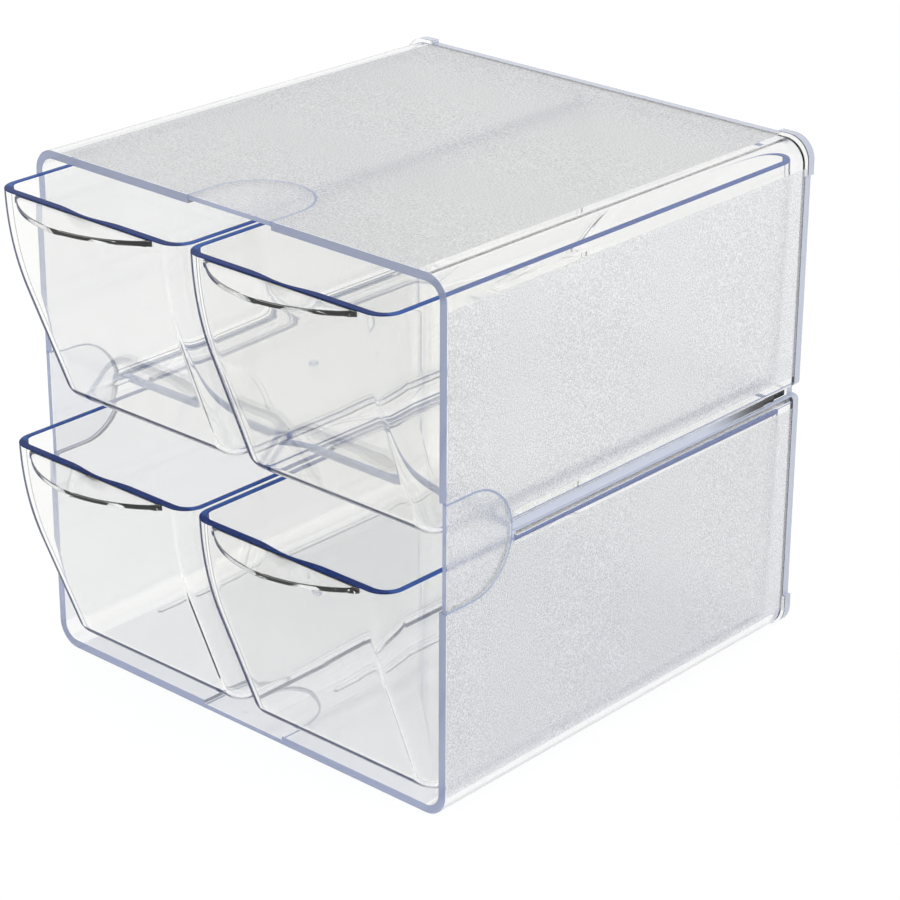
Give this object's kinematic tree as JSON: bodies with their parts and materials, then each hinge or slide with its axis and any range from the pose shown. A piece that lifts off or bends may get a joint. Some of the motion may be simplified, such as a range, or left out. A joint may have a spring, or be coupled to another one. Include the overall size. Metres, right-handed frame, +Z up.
{
  "type": "craft stamp storage drawers",
  "caption": "A clear cube organizer for craft stamps: an open-fronted shell with a shelf across the middle and lift-lipped drawers that slide out at the front.",
  "frame": {"origin": "The middle of the shell's flat underside.", "axes": "+Z is up, the drawers open toward -Y, and +X is to the right for someone facing the drawers."},
  "size_m": [0.1524, 0.181, 0.1524],
  "materials": {
    "clear_shell": "gloss",
    "clear_shelf": "gloss",
    "tinted_drawer": "gloss"
  },
  "bodies": {
    "housing": {"cube_shell": "clear_shell", "shelf": "clear_shelf"},
    "drawer_upper_left": {"drawer_upper_left": "tinted_drawer"},
    "drawer_upper_right": {"drawer_upper_right": "tinted_drawer"},
    "drawer_lower_left": {"drawer_lower_left": "tinted_drawer"},
    "drawer_lower_right": {"drawer_lower_right": "tinted_drawer"}
  },
  "joints": [
    {"name": "drawer_upper_left_slide", "type": "slide", "parent": "housing", "child": "drawer_upper_left", "axis": [0, -1, 0], "range_m": [0, 0.12]},
    {"name": "drawer_upper_right_slide", "type": "slide", "parent": "housing", "child": "drawer_upper_right", "axis": [0, -1, 0], "range_m": [0, 0.12]},
    {"name": "drawer_lower_left_slide", "type": "slide", "parent": "housing", "child": "drawer_lower_left", "axis": [0, -1, 0], "range_m": [0, 0.12]},
    {"name": "drawer_lower_right_slide", "type": "slide", "parent": "housing", "child": "drawer_lower_right", "axis": [0, -1, 0], "range_m": [0, 0.12]}
  ]
}
